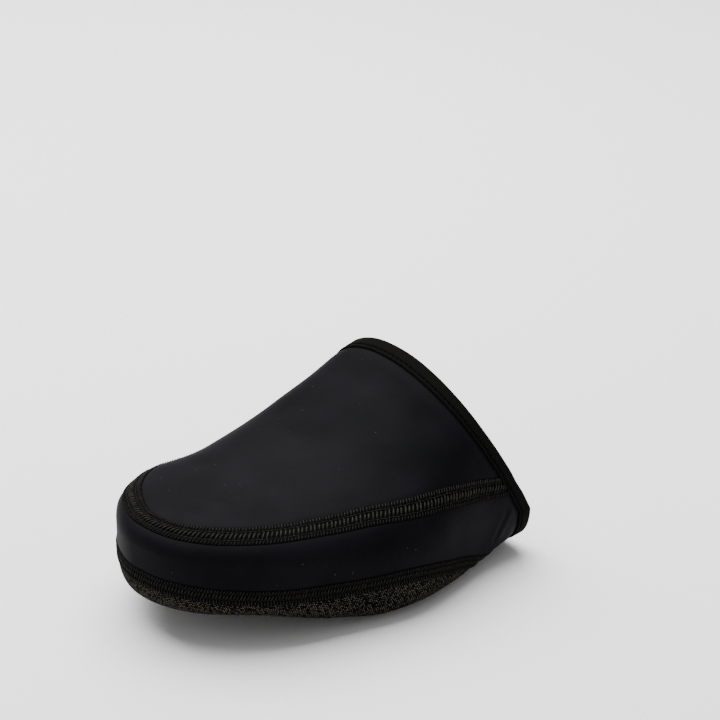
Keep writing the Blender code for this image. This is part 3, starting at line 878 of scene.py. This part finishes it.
soleStitch = {
    "width": form["soleSeamWidth"], "spread": 0.0, "toeSqueeze": 0.0,
    "bars": (
        {"at": 0.0023, "half": 0.00055, "lean": -0.00035,
         "pitch": 0.00115, "radius": 0.00019, "rise": 0.00026},
        {"at": 0.0003, "half": 0.00100, "lean": -0.00035,
         "pitch": 0.00125, "radius": 0.00027, "rise": 0.00032},
        {"at": -0.0020, "half": 0.00085, "lean": 0.00010,
         "pitch": 0.00115, "radius": 0.00022, "rise": 0.00028},
    ),
    "lines": (
        {"at": 0.00152, "pitch": 0.00125, "radius": 0.00015, "rise": 0.00014},
        {"at": -0.00090, "pitch": 0.00125, "radius": 0.00015, "rise": 0.00014},
    ),
}


def stitchRow(strip, row):
    # a row's stitches as tubes: a bar runs across the seam with its lean and a needle stitch along it,
    # and both arch by 1 less the square of the place along the stitch, from -1 to 1
    s = np.linspace(-1, 1, len(thread["barTaper"]))[None, :]
    first = thread["ends"] + row["at"] * strip["skew"][0]
    inside = strip["length"] - thread["ends"] + row["at"] * strip["skew"][-1] - first
    count = int(inside / row["pitch"])
    number = np.arange(count)[:, None]
    start = first + (number + 0.5) * inside / count
    # the machine never lays two stitches quite alike
    turn = number * thread["wobbleTurn"] + row["at"] * thread["rowTurn"]
    wobble = thread["wobble"] * row["pitch"] * np.sin(turn)
    if "half" in row:
        along = start + s * row["lean"] + wobble
        longer = 1 + thread["uneven"] * np.sin(number * thread["unevenTurn"])
        across = row["at"] + s * row["half"] * longer
        taper = thread["barTaper"]
    else:
        along = start + s * thread["lineReach"] * row["pitch"]
        across = row["at"] + wobble
        taper = thread["lineTaper"]
    height = thread["clearance"] + row["rise"] * (1 - s ** 2)
    centreLine, up = onStrip(strip, along, across, height)
    return tubes(centreLine, up, row["radius"] * np.array(taper))


def seamShadeBed(strip):
    # a low closed band: the bed's profile carried along the seam, sunk into the cloth at its edges
    steps = np.linspace(0, strip["length"], bed["steps"])[:, None]
    across, height = np.array(bed["across"]) * strip["half"], np.array(bed["height"]) * bed["rise"]
    return onStrip(strip, steps, across, height, square=False)[0]


def flatlockSeam(name, centre, stitch, threadFinish):
    # Rows of looper thread laid across the butted edges as short slanted bars, needle lines between
    # them, and below all a low near-black bed that closes the gap between the two cloths; its
    # near-black is painted shade under and between the threads
    strip = seamStrip(centre, stitch)
    rows = stitch["bars"] + stitch["lines"]
    points, sides, caps, total = gatherTubes([stitchRow(strip, row) for row in rows])
    band = seamShadeBed(strip)
    index = np.arange(band[..., 0].size).reshape(band.shape[:2]) + total
    bandFaces = gridQuads(closeRound(index, 1))[:, ::-1]
    bandCaps = np.stack([index[0], index[-1, ::-1]])
    # slot 2 holds the sole's darker thread, painted shade on the row that asks for it
    slots = [np.full(len(faces), row.get("slot", 0)) for faces, row in zip(sides + caps, rows + rows)]
    slots.append(np.ones(len(bandFaces) + len(bandCaps)))
    return putMesh(name, np.concatenate(points + [band.reshape(-1, 3)]), sides + caps + [bandFaces, bandCaps],
                   materials=(threadFinish, shadeBedFinish, soleThreadAndRowShadeFinish), slots=slots)


upperSeam = flatlockSeam("upperFlatlock", skin["upper"], upperStitch, upperThreadFinish)
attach(upperSeam, "root")
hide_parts("upper_seam")
soleSeam = flatlockSeam("soleFlatlock", skin["sole"], soleStitch, soleThreadAndRowShadeFinish)
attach(soleSeam, "root")
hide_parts("outsole_seam")
print("seams made:", len(upperSeam.data.polygons), len(soleSeam.data.polygons), "faces")


# Tape folded over the collar's edge

cuff = {
    "thickness": 0.0008,
    "lift": 0.0001,            # tape over the cloth that it squeezes
    "innerSink": 0.0003,       # its inner leg lies this deep in the fleece
    "puff": 0.0002,            # swell of the tape between fold and stitches
    "puffPower": 0.7,
    "groove": 0.00045,         # drawn in along the stitches
    "edgeTuck": 0.0003,        # and at the front edges
    "grooveWidth": 0.00035,
    "stitchBack": 0.0017,      # from the front edge back to the stitches
    "stitchPitch": 0.0024,
    "stitchReach": 0.40,       # half a stitch, as a share of the pitch
    "stitchRadius": 0.00017, "stitchSink": 0.00022, "stitchRise": 0.00016,
    "profileSteps": 44,
    "loopSteps": 560,
}


def collarLoop():
    # the collar's edge and the line where the tape ends, as closed loops at even steps
    lateral, trim = skin["points"][0], skin["points"][detail["tapeColumns"]]
    medial, medialTrim = skin["points"][-1], skin["points"][-1 - detail["tapeColumns"]]
    edge = np.concatenate([lateral, medial[-2:0:-1]])
    ahead = np.concatenate([trim, medialTrim[-2:0:-1]])
    out = np.concatenate([skin["normals"][0], skin["normals"][-1][-2:0:-1]])
    both = closeRound(np.concatenate([edge, ahead, out], axis=1), 0)
    run = runAlong(both[:, :3])
    steps = np.linspace(0, run[-1], cuff["loopSteps"] + 1)[:-1]
    even = readEvenly(both, run, steps)
    return {"edge": even[:, :3], "ahead": unit(even[:, 3:6] - even[:, :3]), "out": unit(even[:, 6:]),
            "steps": steps, "length": run[-1]}


loop = collarLoop()
outerFace = cuff["lift"] + cuff["thickness"]  # the tape's two faces, out from the cloth's outer one
innerFace = cuff["innerSink"] - form["upperWall"] - outerFace


def tapeSection():
    # closed line round the tape, as places ahead of the collar's edge and out from the cloth, with the run
    # along it. Its middle line is a U, along the outer leg, round the fold and back along the inner leg.
    # It is moved half the thickness to both sides, and where it shows it swells by a power of the way to
    # the fold, less a bell at the stitches and at the edges
    half, leg = cuff["thickness"] / 2, form["tapeWidth"]
    radius, middle = (outerFace - innerFace) / 2 - half, (outerFace + innerFace) / 2
    arc = math.pi * radius
    run = np.linspace(0, 2 * leg + arc, cuff["profileSteps"])
    angle = np.clip((run - leg) / radius, 0, math.pi)
    back = np.where(run > leg + arc, run - leg - arc, -radius * np.sin(angle))
    ahead, out = np.where(run < leg, leg - run, back), middle + radius * np.cos(angle)
    fromFront = np.minimum(run, run[-1] - run)
    fromStitch = fromFront - cuff["stitchBack"]
    puff = cuff["puff"] * np.clip(fromStitch / (leg - cuff["stitchBack"]), 0, 1) ** cuff["puffPower"]
    puff -= cuff["groove"] * bell(fromStitch, cuff["grooveWidth"])
    puff -= cuff["edgeTuck"] * bell(fromFront, cuff["grooveWidth"])
    shown = ahead - np.sin(angle) * (half + puff), out + np.cos(angle) * (half + puff)
    hidden = ahead + np.sin(angle) * half, out - np.cos(angle) * half
    return [np.concatenate([face, other[::-1]]) for face, other in zip((*shown, run), (*hidden, run))]


def onCollar(position, aheadBy, outBy):
    # a point so far round the collar, ahead of its edge and out from the cloth
    position, aheadBy, outBy = np.broadcast_arrays(position, aheadBy, outBy)
    turn = position / loop["length"] * cuff["loopSteps"]
    i0 = np.floor(turn).astype(int) % cuff["loopSteps"]
    i1 = (i0 + 1) % cuff["loopSteps"]
    u = (turn - np.floor(turn))[..., None]
    edge = loop["edge"][i0] * (1 - u) + loop["edge"][i1] * u
    forward = unit(loop["ahead"][i0] * (1 - u) + loop["ahead"][i1] * u)
    outward = unit(loop["out"][i0] * (1 - u) + loop["out"][i1] * u)
    return edge + forward * aheadBy[..., None] + outward * outBy[..., None], outward


def makeTape():
    # the section carried round the collar and closed both ways, with cloth coordinates in metres
    ahead, out, run = tapeSection()
    points, _ = onCollar(loop["steps"][:, None], ahead, out)
    index = np.arange(points[..., 0].size).reshape(points.shape[:2])
    flat = np.stack(np.broadcast_arrays(np.append(loop["steps"], loop["length"])[:, None],
                                        np.append(run, run[0])[None, :]), axis=-1)
    wide = np.arange(flat[..., 0].size).reshape(flat.shape[:2])
    return putMesh("cuffTape", points, [gridQuads(closeRound(closeRound(index, 0), 1))],
                   uvs=flat.reshape(-1, 2)[gridQuads(wide)].reshape(-1, 2), materials=(tapeFinish,))


def makeCuffStitches():
    # short tubes in the grooves of both legs, arched by 1 less the square of the place along each
    count = int(loop["length"] / cuff["stitchPitch"])
    start = np.arange(count)[:, None] * loop["length"] / count
    s = np.linspace(-1, 1, len(thread["lineTaper"]))[None, :]
    along = start + s * cuff["stitchReach"] * cuff["stitchPitch"]
    arch = cuff["stitchRise"] * (1 - s ** 2) - cuff["stitchSink"]
    rows = []
    for face, sign in ((outerFace, 1), (innerFace, -1)):
        centreLine, up = onCollar(along, form["tapeWidth"] - cuff["stitchBack"], face + sign * arch)
        rows.append(tubes(centreLine, up, cuff["stitchRadius"] * np.array(thread["lineTaper"])))
    points, sides, caps, _ = gatherTubes(rows)
    # the stitches take the seam bed's near-black finish
    return putMesh("cuffStitches", np.concatenate(points), sides + caps, materials=(shadeBedFinish,))


tape = makeTape()
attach(tape, "root")
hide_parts("cuff_binding")
cuffStitch = makeCuffStitches()
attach(cuffStitch, "root")
print("collar tape made:", len(tape.data.polygons), "faces")


# Floor, camera and light

studio = {
    "paper": "#f6f6f6", "floorRadius": 3.0, "floorSides": 64, "floorDrop": 0.0002,
    "azimuth": 49.61, "elevation": 26.22, "roll": -0.009,    # degrees
    "distance": 0.90837, "lens": 117.24, "sensor": 36, "nearest": 0.05,
    "aim": (0.0, 0.1, 0.030),                                # from the toe tip on the foot's axis
    "aimPixel": (345.28, 481.83), "picture": 720,
    "sky": 0.5,
    "lights": (
        {"name": "overhead", "place": (-0.50, 0.12, 1.15), "target": (0, 0, 0.03),
         "size": (1.5, 1.5), "power": 56},
        {"name": "leftBox", "place": (-0.7, -0.9, 0.35), "target": (0, -0.02, 0.04),
         "size": (0.4, 0.6), "power": 0.45},
    ),
}


def makeFloor():
    # a wide disc of pale paper, a hair under the cover
    count, radius = studio["floorSides"], studio["floorRadius"]
    turn = np.linspace(0, 2 * math.pi, count, endpoint=False)
    low = np.full(count, -studio["floorDrop"])
    points = np.column_stack([np.cos(turn) * radius, np.sin(turn) * radius, low])
    made, _, _ = newMaterial("palePaper", {"Roughness": 0.9, "Specular IOR Level": 0.1,
                                           "Base Color": hexColour(studio["paper"])})
    floor = putMesh("floor", points, [np.arange(count)[None, :]], materials=(made,))


def makeCamera():
    # stands back from the aim point at the photograph's angle, then turns by yaw, pitch and roll so
    # that this point falls on its own pixel
    stand = (Matrix.Rotation(math.radians(studio["azimuth"]), 4, "Z")
             @ Matrix.Rotation(math.radians(90 - studio["elevation"]), 4, "X"))
    aim = Vector(studio["aim"]) + Vector((footAxis, toeTip, 0))
    place = aim + studio["distance"] * stand.col[2].to_3d()
    focal = studio["lens"] / studio["sensor"] * studio["picture"]
    yaw = math.atan((studio["aimPixel"][0] - studio["picture"] / 2) / focal)
    pitch = math.atan((studio["aimPixel"][1] - studio["picture"] / 2) / focal * math.cos(yaw))
    turn = (Matrix.Rotation(yaw, 4, "Y") @ Matrix.Rotation(pitch, 4, "X")
            @ Matrix.Rotation(math.radians(studio["roll"]), 4, "Z"))
    data = bpy.data.cameras.new("camera")
    data.lens = studio["lens"]
    data.sensor_width = studio["sensor"]
    data.clip_start = studio["nearest"]
    made = bpy.data.objects.new("camera", data)
    made.matrix_world = Matrix.Translation(place) @ stand @ turn
    bpy.context.scene.collection.objects.link(made)
    bpy.context.scene.camera = made


def softLight(name, place, target, size, power):
    # a rectangle of light that faces its target
    data = bpy.data.lights.new(name, "AREA")
    data.shape = "RECTANGLE"
    data.size, data.size_y = size
    data.energy = power
    made = bpy.data.objects.new(name, data)
    made.location = place
    made.rotation_mode = "QUATERNION"
    made.rotation_quaternion = (Vector(target) - Vector(place)).to_track_quat("-Z", "Y")
    bpy.context.scene.collection.objects.link(made)


def makeSky():
    # even white light from all round
    world = bpy.data.worlds.new("studio")
    world.use_nodes = True
    background = world.node_tree.nodes["Background"]
    background.inputs["Color"].default_value = hexColour("#ffffff")
    background.inputs["Strength"].default_value = studio["sky"]
    bpy.context.scene.world = world


makeFloor()
makeCamera()
for light in studio["lights"]:
    softLight(**light)
makeSky()
print("stage set")
